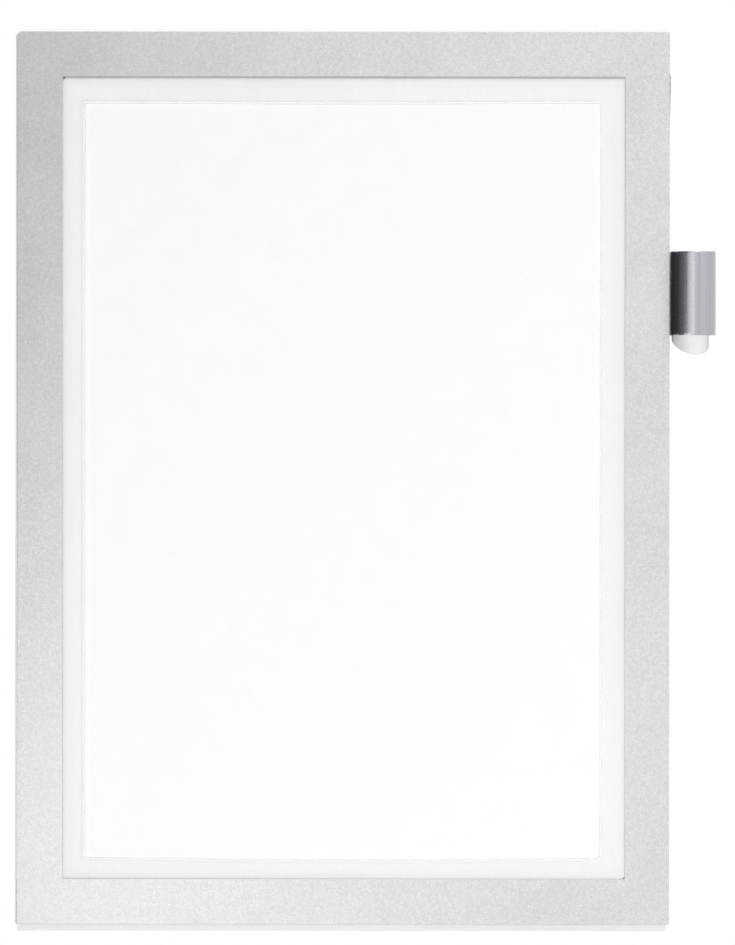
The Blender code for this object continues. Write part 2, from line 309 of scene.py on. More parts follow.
def paperFinish(s=paperSet):
    made, tree = newFinish("paper")
    upright = tree.grain(s["fibre"], 5.0, s["upright"])
    across = tree.grain(s["fibre"], 5.0, s["across"])
    cloud = tree.grain(s["cloud"], detail=3.0)
    tone = weighed(s["shares"], upright.spread(), across.spread(), cloud.spread())
    return paint(made, tree, {
        "Base Color": tree.mix(tone, s["dark"], s["light"]),
        "Roughness": s["roughness"] + upright.swing(s["roughFibre"]),
        "Normal": tree.bump(upright + across, s["relief"]),
        "Specular IOR Level": s["specular"],
    })


foamSet = {
    # pit: a darker tone painted where the foam's surface sinks, as shade in its hollows; skin: the
    # foam's own colour
    "pit": (0.70, 0.70, 0.685), "skin": (0.87, 0.87, 0.855),
    "cell": 0.00028, "wallRange": (0.12, 0.55), "patch": 0.006, "patchRange": (0.35, 0.7),
    "shares": (0.6, 0.25), "roughness": 0.74, "roughPatch": 0.3,
    "relief": 0.00005, "strength": 0.6,
}


def foamTapeFinish(s=foamSet):
    made, tree = newFinish("foamTape")
    wall = tree.cells(s["cell"], "Distance").between(*s["wallRange"])
    patch = tree.grain(s["patch"], detail=3.0)
    tone = weighed(s["shares"], wall, patch.between(*s["patchRange"]))
    return paint(made, tree, {
        # painted shade: darker where the bump sinks
        "Base Color": tree.mix(tone, s["skin"], s["pit"]),
        "Roughness": s["roughness"] + patch.swing(s["roughPatch"]),
        "Normal": tree.bump(1.0 - wall, s["relief"], s["strength"]),
    })


satinSet = {
    "dark": (0.400, 0.402, 0.440), "light": (0.480, 0.482, 0.515), "metallic": 0.95,
    # narrow and broad marks drawn out along the tube, and a fine grain
    "streak": 0.00045, "streakStretch": (1.0, 1.0, 0.012),
    "broad": 0.0022, "broadStretch": (1.0, 1.0, 0.03), "fine": 0.00022,
    "shares": (0.45, 0.4, 0.15), "roughness": 0.27, "roughStreak": 0.16, "roughFine": 0.06,
    "relief": 0.000012, "broadRelief": 0.5,
}


def satinMetalFinish(s=satinSet):
    made, tree = newFinish("satinMetal")
    streak = tree.grain(s["streak"], 3.0, s["streakStretch"])
    broad = tree.grain(s["broad"], 2.0, s["broadStretch"])
    fine = tree.grain(s["fine"])
    tone = weighed(s["shares"], streak.spread(), broad.spread(), fine.spread())
    rough = s["roughness"] + streak.swing(s["roughStreak"]) + fine.swing(s["roughFine"])
    return paint(made, tree, {
        "Base Color": tree.mix(tone, s["dark"], s["light"]),
        "Roughness": rough, "Metallic": s["metallic"],
        "Normal": tree.bump(streak + broad * s["broadRelief"], s["relief"]),
    })


softSet = {
    "dark": (0.75, 0.752, 0.75), "light": (0.80, 0.802, 0.80), "cloud": 0.004, "fine": 0.0003,
    "shares": (0.7, 0.3), "roughness": 0.52, "roughFine": 0.16, "relief": 0.00001,
}


def softPlasticFinish(s=softSet):
    made, tree = newFinish("softPlastic")
    cloud = tree.grain(s["cloud"], detail=3.0)
    fine = tree.grain(s["fine"])
    tone = weighed(s["shares"], cloud.spread(), fine.spread())
    return paint(made, tree, {
        "Base Color": tree.mix(tone, s["dark"], s["light"]),
        "Roughness": s["roughness"] + fine.swing(s["roughFine"]),
        "Normal": tree.bump(fine, s["relief"]),
    })


silverFilm = silverFilmFinish()
coverClear = clearFilmFinish("coverClear", True)
backClear = clearFilmFinish("backClear", False)
magnetCore = magnetCoreFinish()
coatedSteel = coatedSteelFinish()
paper = paperFinish()
foamTape = foamTapeFinish()
satinMetal = satinMetalFinish()
softPlastic = softPlasticFinish()
print("finishes made")


# Meshes

# distance at which doubles merge, angles of flat and sharp edges, weight of large faces
meshSet = {"merge": 0.000002, "flat": 1.0, "sharp": 50.0, "flatWeight": 100}


def clamp(value):
    return min(1.0, max(0.0, value))


# Clamped share with a smooth start and end.
def eased(share):
    share = clamp(share)
    return share * share * (3.0 - 2.0 * share)


# Share of so many steps that crowd towards both ends.
def crowded(step, steps=1):
    return 0.5 - 0.5 * math.cos(math.pi * step / steps)


def linkMesh(name, mesh):
    made = bpy.data.objects.new(name, mesh)
    scene.collection.objects.link(made)
    return made


def meshFrom(bm, name):
    mesh = bpy.data.meshes.new(name)
    bm.to_mesh(mesh)
    bm.free()
    return mesh


def smoothUpTo(mesh, degrees):
    mesh.shade_smooth()
    mesh.set_sharp_from_angle(angle=math.radians(degrees))


# Closed shell between two sheets of points, each rows x columns x 3.
# A ring joins its last column to its first.
def shellMesh(name, front, back, ring, degrees=35.0):
    rows, columns = front.shape[:2]
    count = rows * columns
    points = np.concatenate([front.reshape(-1, 3), back.reshape(-1, 3)])
    last = columns if ring else columns - 1
    faces = []
    for row in range(rows):
        for column in range(last):
            a = row * columns + column
            b = row * columns + (column + 1) % columns
            if row < rows - 1:
                faces.append((a, b, b + columns, a + columns))
                faces.append((count + a, count + a + columns, count + b + columns, count + b))
            if row == 0:
                faces.append((a, count + a, count + b, b))
            if row == rows - 1:
                faces.append((a, b, count + b, count + a))
    if not ring:
        for row in range(rows - 1):
            a = row * columns
            b = a + columns - 1
            faces.append((a, a + columns, count + a + columns, count + a))
            faces.append((b, count + b, count + b + columns, b + columns))
    mesh = bpy.data.meshes.new(name)
    mesh.from_pydata(points.tolist(), [], faces)
    mesh.update()
    smoothUpTo(mesh, degrees)
    return mesh


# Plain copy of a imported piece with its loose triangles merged, flat faces joined and edges rounded.
def softCopy(name, node, s):
    bm = bmesh.new()
    bm.from_mesh(frame["nodes"][node].data)
    bmesh.ops.remove_doubles(bm, verts=bm.verts, dist=meshSet["merge"])
    bmesh.ops.dissolve_limit(bm, angle_limit=math.radians(meshSet["flat"]),
                             verts=bm.verts, edges=bm.edges)
    made = linkMesh(name, meshFrom(bm, name))
    soften(made, s)
    return made


# Rounds the sharp edges of a piece, keeps its flat faces flat in shading, and makes it plain.
def soften(made, s):
    made.data.shade_smooth()
    rounding = made.modifiers.new("rounding", "BEVEL")
    rounding.width = s["edge"]
    rounding.segments = s["segments"]
    rounding.limit_method = "ANGLE"
    rounding.angle_limit = math.radians(meshSet["sharp"])
    flat = made.modifiers.new("flatShading", "WEIGHTED_NORMAL")
    flat.weight = meshSet["flatWeight"]
    plainMesh(made)


# Turns what the modifiers give into the object's own mesh.
def plainMesh(made):
    evaluated = made.evaluated_get(bpy.context.evaluated_depsgraph_get())
    mesh = bpy.data.meshes.new_from_object(evaluated)
    made.modifiers.clear()
    mesh.name = made.name
    made.data = mesh


# Gives a piece its finish and its body, and hides the imported piece it stands for.
def fit(piece, finish, body, node):
    piece.data.materials.clear()
    piece.data.materials.append(finish)
    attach(piece, body)
    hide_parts(node)


# Left, right, bottom and top of the hole in a flat ring whose corners have the given radius.
def holeOf(node, corner):
    xs = [v.co.x for v in frame["nodes"][node].data.vertices]
    zs = [v.co.z for v in frame["nodes"][node].data.vertices]
    low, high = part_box(node)
    midX = (low.x + high.x) / 2
    midZ = (low.z + high.z) / 2
    left = max(x for x in xs if x < midX) - corner
    right = min(x for x in xs if x > midX) + corner
    bottom = max(z for z in zs if z < midZ) - corner
    top = min(z for z in zs if z > midZ) + corner
    return left, right, bottom, top


# Geometry node tools

# Adds a tree to an object with named inputs, and sets each input by its socket's identifier.
def growNodes(made, name, sizes, build, finish):
    group = bpy.data.node_groups.new(name, "GeometryNodeTree")
    group.interface.new_socket("Geometry", in_out="OUTPUT", socket_type="NodeSocketGeometry")
    tree = Tree(group)
    sockets = {}
    for key, value in sizes.items():
        kind = "NodeSocketInt" if isinstance(value, int) else "NodeSocketFloat"
        sockets[key] = group.interface.new_socket(key, in_out="INPUT", socket_type=kind)
    start = group.nodes.new("NodeGroupInput")
    inputs = {key: Wire(tree, start.outputs[key]) for key in sizes}
    shape = build(tree, inputs)
    realized = tree.node("GeometryNodeRealizeInstances", None, {"Geometry": shape})
    dressed = tree.node("GeometryNodeSetMaterial", None, {"Geometry": realized, "Material": finish})
    end = group.nodes.new("NodeGroupOutput")
    group.links.new(dressed.socket, end.inputs[0])
    grown = made.modifiers.new(name, "NODES")
    grown.node_group = group
    for key, value in sizes.items():
        grown[sockets[key].identifier] = value


def splitPosition(tree):
    spot = tree.node("GeometryNodeInputPosition")
    return [tree.node("ShaderNodeSeparateXYZ", None, {0: spot}, out=axis) for axis in range(3)]


def joined(tree, *parts):
    made = tree.tree.nodes.new("GeometryNodeJoinGeometry")
    for part in parts:
        tree.tree.links.new(part.socket, made.inputs[0])
    return Wire(tree, made.outputs[0])


# Silver face

faceSet = {"edge": 0.00005, "segments": 3, "corner": 0.0004}

silverFace = softCopy("silverFace", "front_face", faceSet)
fit(silverFace, silverFilm, "front", "front_face")
print("silver face made")


# Cover film: one sheet with the writing cut-out, folded and curled round the hinge at its left

filmSet = {
    "corner": 0.0008, "cornerSteps": 8, "sideSteps": 56,
    # rows of points: out from the cut edge, across the burr in its widths, and further out,
    "nearRows": [0.0, 0.00001, 0.00003, 0.00006, 0.0001, 0.0002, 0.0003, 0.0004, 0.0006, 0.00075],
    "ridgeRows": [-1.0, -0.6, -0.3, 0.0, 0.3, 0.6, 1.0], "outRows": [0.0022, 0.0034, 0.0050],
    # then inside the window's edge, and shares of the way from it to the outer edge
    "windowRows": [0.0012, 0.0009, 0.0006, 0.0003, 0.0], "farRows": [0.02, 0.04, 0.35, 0.7],
    # rows and columns that only the fold has, and how far they reach past it
    "foldSteps": 30, "foldReach": 1.03, "denseSteps": 24, "denseReach": 1.2,
    # how far each side of the cut-out comes in, at its low end, middle and high end
    "left": (0.00065, 0.00047, 0.00043), "right": (0.00083, 0.00061, 0.00061),
    "bottom": (0.00072, -0.00018, 0.00054), "top": (0.00043, 0.00072, 0.00032),
    # length over which a side's shift fades out round the corner
    "cornerFade": 0.012,
    # rounding of the cut edge down to this share of the thickness, and the burr beside it
    "edgeRound": 0.00007, "thinnest": 0.08,
    "ridgeAt": 0.00105, "ridgeWidth": 0.00022, "ridgeHeight": 0.00007, "ridgeSharp": 3.0,
    # tones: painted shade along the cut edge's rim, a painted shadow line of the edge at the burr,
    # and the clearer band between them
    "rimWidth": 0.00022, "ridgeTone": 0.9, "bareTone": 0.7, "bare": (0.00025, 0.00078),
    # how clearly they show at the left, right, bottom and top
    "sideTones": (0.35, 0.20, 0.45, 1.0),
    # the film lies back a little between the bars, unevenly, and ripples
    "droop": 0.00055, "droopOver": 0.6, "droopLeast": 0.7, "droopWave": 0.6,
    "ripple": 0.00008, "rippleLength": 0.045, "rippleLevel": 0.7,
    # the fold: its bend, how far its wall stands out from the hinge axis, thinning and curl
    "bend": 0.0002, "foldOut": 0.00014, "foldThin": 0.2, "curlTurn": 225.0,
    "foldCorner": 0.0021, "foldCornerFade": 0.0060, "foldFade": 0.0002,
    # clear spots, where the film ends short of what lies behind it
    "wetSpots": [(-0.1007, 0.30195), (0.1018, 0.0130)], "wetRadius": 0.0005, "wetSharp": 4,
}


# Corner arcs and divided sides of a rectangle, from the lower left round.
# Columns match between rectangles.
def ringPoints(left, right, bottom, top, radius, across, up, cornerSteps):
    corners = [
        (left + radius, bottom + radius, math.pi),
        (right - radius, bottom + radius, 1.5 * math.pi),
        (right - radius, top - radius, 0.0),
        (left + radius, top - radius, 0.5 * math.pi),
    ]
    sides = [across, up, [1.0 - share for share in reversed(across)], up]
    points = []
    for number, (centreX, centreZ, start) in enumerate(corners):
        for step in range(cornerSteps + 1):
            angle = start + 0.5 * math.pi * step / cornerSteps
            points.append((centreX + radius * math.cos(angle), centreZ + radius * math.sin(angle)))
        fromX, fromZ = points[-1]
        nextX, nextZ, nextStart = corners[(number + 1) % 4]
        toX = nextX + radius * math.cos(nextStart)
        toZ = nextZ + radius * math.sin(nextStart)
        for share in sides[number]:
            points.append((fromX + (toX - fromX) * share, fromZ + (toZ - fromZ) * share))
    return points


# Value at one place of the curve through three values at the ends and the middle of a span.
def through(values, at, span):
    share = clamp((at - span[0]) / (span[1] - span[0]))
    low, middle, high = values
    return (low * (1.0 - share) * (1.0 - 2.0 * share) + 4.0 * middle * share * (1.0 - share)
            + high * share * (2.0 * share - 1.0))


# The film's thickness, from the depths of its front and the magnets behind it.
def coverThickness():
    ys = sorted({round(v.co.y, 6) for v in frame["nodes"]["cover_film"].data.vertices})
    return ys[1] - ys[0]


def coverFilmMesh(name, s=filmSet):
    low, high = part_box("cover_film")
    hinge = frame["joints"][0]["pos_m"]
    thickness = coverThickness()
    middleY = low.y + thickness / 2
    wallX = hinge[0] - s["foldOut"] + thickness / 2
    flatEnd = wallX + s["bend"]
    wallLength = hinge[1] - (middleY + s["bend"])
    curlRadius = hinge[0] - wallX
    curlLength = math.radians(s["curlTurn"]) * curlRadius
    bendLength = 0.5 * math.pi * s["bend"]
    foldLength = bendLength + wallLength + curlLength
    hole = holeOf("cover_film", s["corner"])
    window = holeOf("front_face", faceSet["corner"])
    outer = (flatEnd - foldLength, high.x, low.z, high.z)

    near = s["nearRows"] + [s["ridgeAt"] + s["ridgeWidth"] * k for k in s["ridgeRows"]]
    near += s["outRows"]
    foldShare = foldLength / (window[0] - outer[0]) * s["foldReach"]
    foldRows = [1.0 - foldShare * (1.0 - k / s["foldSteps"]) for k in range(s["foldSteps"] + 1)]
    denseShare = foldLength * s["denseReach"] / (outer[1] - outer[0])
    dense = [denseShare * k / s["denseSteps"] for k in range(1, s["denseSteps"] + 1)]
    sparse = [k / s["sideSteps"] for k in range(1, s["sideSteps"])]
    across = dense + [dense[-1] + (1.0 - dense[-1]) * k / s["sideSteps"]
                      for k in range(1, s["sideSteps"])]

    # rectangle, rim tone, clear tone, share of the thickness and lift of each row
    rows = []
    for d in near:
        edges = (hole[0] - d, hole[1] + d, hole[2] - d, hole[3] + d)
        # rim paints shade along the cut edge, and the cut edge's shadow as a line along the burr
        ridge = math.exp(-((d - s["ridgeAt"]) / s["ridgeWidth"]) ** 2 * s["ridgeSharp"])
        rim = max(1.0 if d < s["rimWidth"] else 0.0, s["ridgeTone"] * ridge)
        bare = s["bareTone"] if s["bare"][0] < d < s["bare"][1] else 0.0
        rounding = min(1.0, d / s["edgeRound"])
        full = math.sqrt(1.0 - (1.0 - rounding) ** 2)
        rows.append((edges, rim, bare, full, ridge * s["ridgeHeight"]))
    plainRows = [(-inset, 0.0) for inset in s["windowRows"]]
    plainRows += [(0.0, share) for share in s["farRows"] + foldRows]
    for inset, share in plainRows:
        edges = [w + (o - w) * share + inset * side
                 for w, o, side in zip(window, outer, (-1.0, 1.0, -1.0, 1.0))]
        rows.append((edges, 0.0, 0.0, 1.0, 0.0))
    rectangles, rimShades, bares, fulls, lifts = zip(*rows)

    flat = np.array([ringPoints(*edges, s["corner"], across, sparse, s["cornerSteps"])
                     for edges in rectangles])
    flatX = flat[:, :, 0]
    flatZ = flat[:, :, 1]
    midX = (hole[0] + hole[1]) / 2
    midZ = (hole[2] + hole[3]) / 2
    halfX = (hole[1] - hole[0]) / 2
    halfZ = (hole[3] - hole[2]) / 2

    # where the middle of the film lies, seen from above, at a distance left of its flat part
    def foldPlace(over):
        if over < bendLength:
            angle = over / s["bend"]
            return (flatEnd - s["bend"] * math.sin(angle),
                    middleY + s["bend"] * (1.0 - math.cos(angle)))
        if over < bendLength + wallLength:
            return wallX, middleY + s["bend"] + over - bendLength
        angle = (over - bendLength - wallLength) / curlRadius
        return hinge[0] - curlRadius * math.cos(angle), hinge[1] + curlRadius * math.sin(angle)

    points = np.zeros((*flat.shape[:2], 3))
    for i in range(flat.shape[0]):
        for j in range(flat.shape[1]):
            x, z = flat[i, j]
            # how free the film is here: 1 at the cut-out, 0 under the bars
            reach = min(x - window[0], window[1] - x, z - window[2], window[3] - z)
            free = eased(reach / (hole[0] - window[0]) / s["droopOver"])
            sideX, signX = ("left", 1.0) if x < midX else ("right", -1.0)
            sideZ, signZ = ("bottom", 1.0) if z < midZ else ("top", -1.0)
            shiftX = signX * through(s[sideX], z, hole[2:])
            shiftZ = signZ * through(s[sideZ], x, hole[:2])
            nearEnd = clamp((abs(z - midZ) - halfZ + s["cornerFade"]) / s["cornerFade"])
            nearSide = clamp((abs(x - midX) - halfX + s["cornerFade"]) / s["cornerFade"])
            wave = noise.noise(Vector((x, s["rippleLevel"], z)) / s["rippleLength"])
            droop = s["droop"] * (s["droopLeast"] + s["droopWave"] * wave)
            lift = lifts[i] - free * droop + free * wave * s["ripple"]
            # rounded corner at the upper end of the fold
            fromFold = s["foldCorner"] - min(s["foldCorner"], max(0.0, x - low.x))
            drop = s["foldCorner"] - math.sqrt(s["foldCorner"] ** 2 - fromFold ** 2)
            z -= drop * max(0.0, 1.0 - (high.z - z) / s["foldCornerFade"])
            over = flatEnd - x
            if over <= 0.0:
                points[i, j] = (x + free * nearSide * shiftX, middleY - lift,
                                z + free * nearEnd * shiftZ)
            else:
                foldX, foldY = foldPlace(over)
                points[i, j] = (foldX, foldY, z)

    alongRow = np.roll(points, -1, axis=1) - np.roll(points, 1, axis=1)
    normals = np.cross(np.gradient(points, axis=0), alongRow)
    normals /= np.maximum(np.linalg.norm(normals, axis=2, keepdims=True), 1e-12)
    if normals[len(near), 0, 1] > 0:
        normals = -normals
    half = np.array([thickness / 2 * max(s["thinnest"], full) for full in fulls]).reshape(-1, 1, 1)
    downWall = np.clip((flatEnd - flatX - bendLength) / wallLength, 0.0, 1.0)
    half = half * (1.0 - s["foldThin"] * downWall)[:, :, None]
    mesh = shellMesh(name, points + normals * half, points - normals * half, True)

    # masks for the finish, the same on both sides of the film
    pastSide = np.abs(flatX - midX) - halfX > np.abs(flatZ - midZ) - halfZ
    leftTone, rightTone, bottomTone, topTone = s["sideTones"]
    tone = np.where(pastSide, np.where(flatX < midX, leftTone, rightTone),
                    np.where(flatZ < midZ, bottomTone, topTone))
    wet = np.array(bares)[:, None] * tone
    for spotX, spotZ in s["wetSpots"]:
        away = np.hypot(flatX - spotX, flatZ - spotZ) / s["wetRadius"]
        wet = np.maximum(wet, np.exp(-away ** s["wetSharp"]))
    # fold paints shade along the fold
    fold = np.clip((flatEnd + s["foldFade"] - flatX) / s["foldFade"], 0.0, 1.0)
    masks = {"rim": np.array(rimShades)[:, None] * tone, "fold": fold, "wet": wet}
    for mask, values in masks.items():
        layer = mesh.attributes.new(mask, "FLOAT", "POINT")
        layer.data.foreach_set("value", np.tile(values.ravel(), 2))
    return mesh


coverFilm = linkMesh("coverFilm", coverFilmMesh("coverFilm"))
fit(coverFilm, coverClear, "front", "cover_film")
print("cover film made")


# Paper, lying almost flat in its pocket

sheetSet = {
    "acrossSteps": 105, "upSteps": 148, "rise": 0.00040, "riseOver": 0.006,
    "wave": 0.00006, "waveLength": 0.075,
}


def paperMesh(name, s=sheetSet):
    low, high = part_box("insert_sheet")
    front = np.zeros((s["upSteps"] + 1, s["acrossSteps"] + 1, 3))
    back = np.zeros_like(front)
    for i in range(s["upSteps"] + 1):
        for j in range(s["acrossSteps"] + 1):
            x = low.x + (high.x - low.x) * (j / s["acrossSteps"])
            z = low.z + (high.z - low.z) * (i / s["upSteps"])
            inside = eased(min(x - low.x, high.x - x, z - low.z, high.z - z) / s["riseOver"])
            wave = noise.noise(Vector((x, 0.0, z)) / s["waveLength"])
            lift = inside * (s["rise"] + s["wave"] * wave)
            front[i, j] = (x, low.y - lift, z)
            back[i, j] = (x, high.y - lift, z)
    return shellMesh(name, front, back, False)


paperSheet = linkMesh("paperSheet", paperMesh("paperSheet"))
fit(paperSheet, paper, "back", "insert_sheet")
print("paper made")


# Magnet strips, slit from one sheet: the dark core shows at the window and stands proud in places

magnetSet = {
    "edge": 0.00006, "segments": 2, "step": 0.0003, "foldCorner": 0.0018, "cornerSteps": 8,
    # wavering of the slit edges, and where in the noise it is taken
    "waver": 0.00004, "waverLength": 0.02, "waverLevel": 3.1, "waverApart": 1.7,
}
magnetBumps = {
    # side, place along it, width and height of each swelling
    "magnet_strip_top": [("bottom", -0.1008, 0.00050, 0.00070), ("bottom", 0.0000, 0.4000, 0.00008),
                         ("right", 0.3019, 0.0009, 0.00032)],
    "magnet_strip_right": [("right", 0.2990, 0.0060, 0.00026), ("right", 0.2900, 0.0050, 0.00012),
                           ("left", 0.0200, 0.1500, -0.00012), ("top", 0.1182, 0.0010, 0.00016)],
    "magnet_strip_bottom": [("top", 0.1018, 0.0005, 0.00055), ("top", 0.0600, 0.1200, -0.00014)],
    "magnet_strip_left": [("left", 0.0000, 0.1400, -0.00015), ("right", 0.2700, 0.0900, -0.00012)],
}


def magnetStrip(node, s=magnetSet):
    low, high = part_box(node)

    def pushed(side, along):
        spot = (along / s["waverLength"], s["waverLevel"], len(side) * s["waverApart"])
        push = s["waver"] * noise.noise(Vector(spot))
        for bumpSide, at, width, height in magnetBumps[node]:
            if bumpSide == side:
                push += height * math.exp(-((along - at) / width) ** 2)
        return push

    def sideSteps(a, b):
        count = max(2, int(abs(b - a) / s["step"]))
        return [a + (b - a) * k / count for k in range(count)]

    corner = s["foldCorner"] if node == "magnet_strip_top" else s["edge"]
    outline = [(x, low.z - pushed("bottom", x)) for x in sideSteps(low.x, high.x)]
    outline += [(high.x + pushed("right", z), z) for z in sideSteps(low.z, high.z)]
    outline += [(x, high.z + pushed("top", x)) for x in sideSteps(high.x, low.x + corner)]
    for step in range(s["cornerSteps"] + 1):
        angle = 0.5 * math.pi * (1.0 + step / s["cornerSteps"])
        outline.append((low.x + corner + corner * math.cos(angle),
                        high.z - corner + corner * math.sin(angle)))
    outline += [(low.x - pushed("left", z), z) for z in sideSteps(high.z - corner, low.z)[1:]]
    bm = bmesh.new()
    face = bm.faces.new([bm.verts.new((x, low.y, z)) for x, z in outline])
    grown = bmesh.ops.extrude_face_region(bm, geom=[face])["geom"]
    moved = [item for item in grown if isinstance(item, bmesh.types.BMVert)]
    bmesh.ops.translate(bm, verts=moved, vec=(0.0, high.y - low.y, 0.0))
    bmesh.ops.recalc_face_normals(bm, faces=bm.faces)
    words = node.split("_")
    made = linkMesh("magnetCore" + words[-1].capitalize(), meshFrom(bm, node))
    soften(made, s)
    fit(made, magnetCore, "front", node)


for node in magnetBumps:
    magnetStrip(node)
print("magnet strips made")


# Steel strips of the back panel

stripSet = {"edge": 0.00008, "segments": 3}

for side in ("top", "bottom", "left", "right"):
    node = "back_strip_" + side
    steel = softCopy("steelStrip" + side.capitalize(), node, stripSet)
    fit(steel, coatedSteel, "back", node)
frame["nodes"]["back_film"].data.materials.clear()
frame["nodes"]["back_film"].data.materials.append(backClear)
print("back panel made")


# Foam strips: a rounded outline filled, raised in layers and swollen a little between its two faces

foamStripSet = {
    "Corner": 0.0010, "Corner Points": 6, "Spacing": 0.0008, "Merge": 0.00001,
    "Swell": 0.00007, "Ragged": 0.00006, "Ragged Scale": 900.0,
}


def foamShape(tree, inputs):
    layers = 4
    curve = tree.node("GeometryNodeCurvePrimitiveQuadrilateral", None,
                      {"Width": inputs["Width"], "Height": inputs["Height"]})
    curve = tree.node("GeometryNodeFilletCurve", {"mode": "POLY"},
                      {"Curve": curve, "Radius": inputs["Corner"],
                       "Count": inputs["Corner Points"]})
    curve = tree.node("GeometryNodeResampleCurve", {"mode": "LENGTH"},
                      {"Curve": curve, "Length": inputs["Spacing"]})
    shape = tree.node("GeometryNodeFillCurve", {"mode": "NGONS"}, {"Curve": curve})
    base = tree.node("GeometryNodeFlipFaces", None, {"Mesh": shape})
    raised = True
    for _ in range(layers):
        shape = tree.node("GeometryNodeExtrudeMesh", None,
                          {"Mesh": shape, "Selection": raised, "Individual": False,
                           "Offset Scale": inputs["Thickness"] / layers})
        raised = shape.other("Top")
    shape = joined(tree, shape, base)
    shape = tree.node("GeometryNodeMergeByDistance", None,
                      {"Geometry": shape, "Distance": inputs["Merge"]})

    # outward direction of the rounded outline, and the swelling at half height
    x, y, z = splitPosition(tree)
    inX = inputs["Width"] / 2 - inputs["Corner"]
    inY = inputs["Height"] / 2 - inputs["Corner"]
    outX = x - x.least(inX).most(0.0 - inX)
    outY = y - y.least(inY).most(0.0 - inY)
    out = tree.node("ShaderNodeCombineXYZ", None, {0: outX, 1: outY})
    out = tree.node("ShaderNodeVectorMath", {"operation": "NORMALIZE"}, {0: out})
    level = z / inputs["Thickness"]
    ragged = tree.node("ShaderNodeTexNoise", None, {"Scale": inputs["Ragged Scale"], "Detail": 2.0})
    amount = inputs["Swell"] * level * (1.0 - level) * 4.0 + (ragged - 0.5) * inputs["Ragged"]
    push = tree.node("ShaderNodeVectorMath", {"operation": "SCALE"}, {0: out, "Scale": amount})
    return tree.node("GeometryNodeSetPosition", None, {"Geometry": shape, "Offset": push})


# Grows one strip flat at the origin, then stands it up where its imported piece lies.
def foamStrip(name, node, s=foamStripSet):
    low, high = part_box(node)
    made = linkMesh(name, bpy.data.meshes.new(name))
    trim = s["Swell"] + s["Ragged"] / 2
    sizes = {"Width": high.x - low.x - 2 * trim, "Height": high.z - low.z - 2 * trim,
             "Thickness": high.y - low.y, **s}
    growNodes(made, "foamStrip", sizes, foamShape, foamTape)
    plainMesh(made)
    for vert in made.data.vertices:
        x, y, z = vert.co
        vert.co = ((low.x + high.x) / 2 + x, high.y - z, (low.z + high.z) / 2 + y)
    smoothUpTo(made.data, meshSet["sharp"])
    fit(made, foamTape, "back", node)


tapes = {
    "foamStripBottom": "adhesive_bottom", "foamStripTop": "adhesive_top",
    "foamStripLeft": "adhesive_left", "foamStripRightLower": "adhesive_right_lower",
    "foamStripRightUpper": "adhesive_right_upper", "foamPad": "holder_pad",
}
for name, node in tapes.items():
    foamStrip(name, node)
print("foam strips made")


# Holder sleeve: one flat sheet, rolled by a rule from its tab round to the front and back

sleeveSet = {
    # rounding of its cut edges, and the gap where it closes on its tab
    "edge": 0.00007, "segments": 3, "gap": 0.0004,
    # the photo's tube is a little slimmer than the plain one
    "slim": 0.0001,
    "inputs": {
        "Wall": 0.0003, "Path Points": 240, "Rows": 46, "Row Crowding": 1.8, "Merge": 0.000005,
        # how far the rims are drawn in, and how steeply that starts at the tab
        "Rim Height": 0.0013, "Rim Draw": 0.00009, "Draw Start": 3.0,
    },
}


def sleeveShape(tree, inputs):
    length = inputs["Tab"] + inputs["Radius"] * inputs["Sweep"]
    # along its path in X, and from -1 to 1 up it in Y
    grid = tree.node("GeometryNodeMeshGrid", None,
                     {"Size X": length, "Size Y": 2.0, "Vertices X": inputs["Path Points"],
                      "Vertices Y": inputs["Rows"]})
    x, y, _ = splitPosition(tree)
    along = x + length / 2
    # rows crowd towards both rims
    share = 1.0 - (1.0 - y.size()) ** inputs["Row Crowding"]
    height = share * y.maths("SIGN", y) * inputs["Height"] / 2
    rim = ((1.0 - share) * inputs["Height"] / 2 / inputs["Rim Height"]).least(1.0)
    drawn = 1.0 - (1.0 - (1.0 - rim) ** 2.0) ** 0.5
    turn = (along - inputs["Tab"]).most(0.0) / inputs["Radius"]
    started = (turn * inputs["Draw Start"]).least(1.0)
    radius = inputs["Radius"] - drawn * inputs["Rim Draw"] * started
    spotX = along.least(inputs["Tab"]) - inputs["Tab"] + radius * turn.maths("SINE", turn)
    spotY = radius * turn.maths("COSINE", turn)
    spot = tree.node("ShaderNodeCombineXYZ", None, {0: spotX, 1: spotY, 2: height})
    rolled = tree.node("GeometryNodeSetPosition", None, {"Geometry": grid, "Position": spot})
    wall = tree.node("GeometryNodeExtrudeMesh", None,
                     {"Mesh": rolled, "Offset Scale": inputs["Wall"], "Individual": False})
    outside = tree.node("GeometryNodeFlipFaces", None, {"Mesh": rolled})
    both = joined(tree, wall, outside)
    return tree.node("GeometryNodeMergeByDistance", None,
                     {"Geometry": both, "Distance": inputs["Merge"]})


def holderSleeve(name, s=sleeveSet):
    low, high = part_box("holder_sleeve")
    radius = (high.y - low.y) / 2 - s["slim"]
    axisX = high.x - radius
    axisY = high.y - radius
    closing = math.acos(1.0 - (s["inputs"]["Wall"] + s["gap"]) / radius)
    sizes = {"Tab": axisX - low.x, "Radius": radius, "Sweep": 2 * math.pi - closing,
             "Height": high.z - low.z, **s["inputs"]}
    made = linkMesh(name, bpy.data.meshes.new(name))
    growNodes(made, "rolledSleeve", sizes, sleeveShape, satinMetal)
    plainMesh(made)
    soften(made, s)
    middle = Vector((axisX, axisY, (low.z + high.z) / 2))
    for vert in made.data.vertices:
        vert.co += middle
    fit(made, satinMetal, "back", "holder_sleeve")


holderSleeve("holderSleeve")
print("holder sleeve made")


# Holder liner: a soft slit tube, square above, cut at a slant below and rounded along its edges

